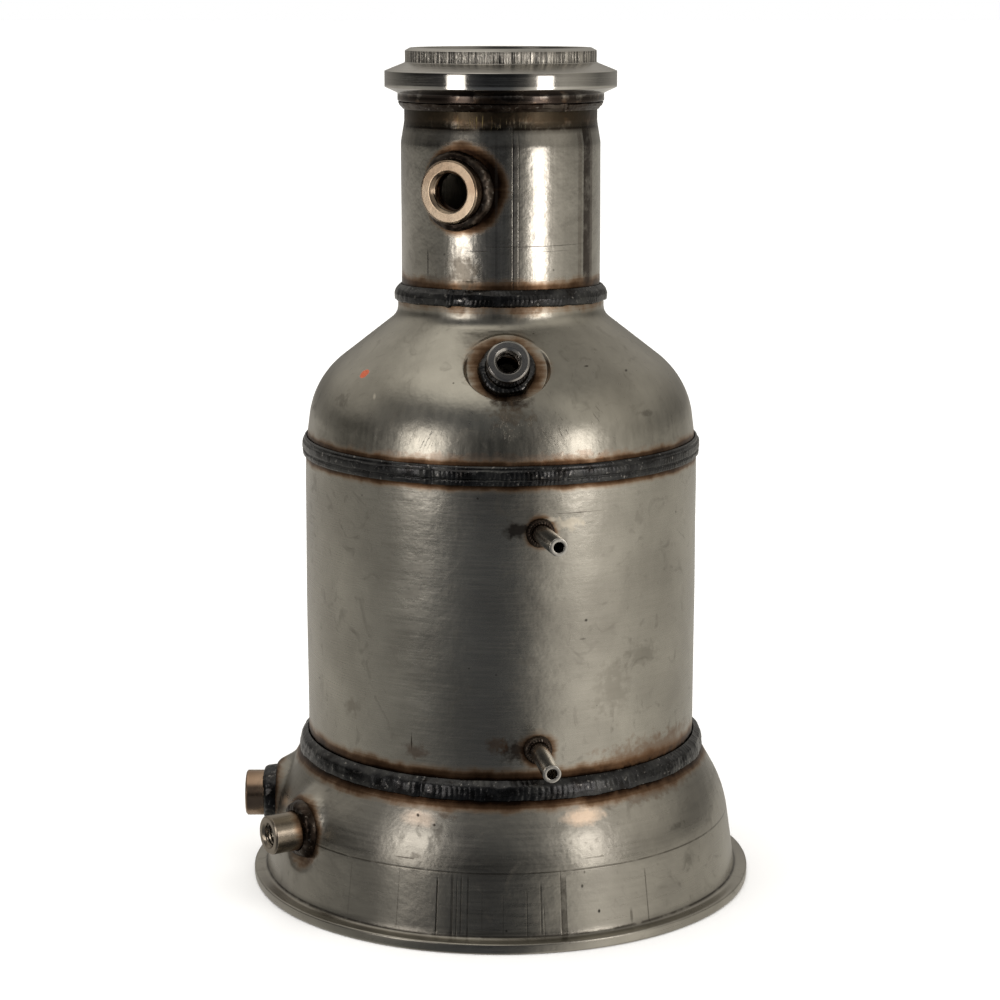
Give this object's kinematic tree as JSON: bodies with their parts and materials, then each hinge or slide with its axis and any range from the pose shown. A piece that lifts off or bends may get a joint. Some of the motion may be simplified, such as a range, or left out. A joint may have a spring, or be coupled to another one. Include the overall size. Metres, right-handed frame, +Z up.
{
  "type": "diesel particulate filter",
  "caption": "Welded stainless canister holding a wall-flow filter brick, with a flared inlet bell, a domed outlet with a clamped neck flange, sensor bosses and pressure taps.",
  "frame": {"origin": "on the canister's centre line, in the plane of the inlet flange's lower face", "axes": "+Z up along the centre line towards the outlet, -Y towards the side that carries the dome boss and the pressure taps"},
  "size_m": [0.2673, 0.2667, 0.4333],
  "materials": {
    "shell": "satin stainless sheet, heat tinted brown beside the welds",
    "neck_tube": "drawn stainless tube with a bright satin surface",
    "neck_flange": "turned stainless with a polished rim",
    "sensor_boss": "turned stainless, straw tinted near its weld",
    "pressure_tap": "bright drawn stainless tube",
    "weld_bead": "graphite grey rippled weld metal",
    "filter_brick": "matt porous silicon carbide",
    "support_mat": "matt ceramic fibre felt",
    "mat_seal": "compressed knitted steel wire"
  },
  "bodies": {
    "root": {"neck_flange": "neck_flange", "neck_flange_weld": "weld_bead", "neck_tube": "neck_tube", "neck_sensor_boss": "sensor_boss", "neck_sensor_boss_weld": "weld_bead", "neck_weld": "weld_bead", "dome_cone": "shell", "dome_sensor_boss": "sensor_boss", "dome_sensor_boss_weld": "weld_bead", "dome_weld": "weld_bead", "filter_can": "shell", "upper_pressure_tap": "pressure_tap", "upper_pressure_tap_weld": "weld_bead", "lower_pressure_tap": "pressure_tap", "lower_pressure_tap_weld": "weld_bead", "filter_brick": "filter_brick", "support_mat": "support_mat", "mat_seal_upper": "mat_seal", "mat_seal_lower": "mat_seal", "bell_weld": "weld_bead", "bell_cone": "shell", "front_bell_boss": "sensor_boss", "front_bell_boss_weld": "weld_bead", "rear_bell_boss": "sensor_boss", "rear_bell_boss_weld": "weld_bead"}
  },
  "joints": []
}
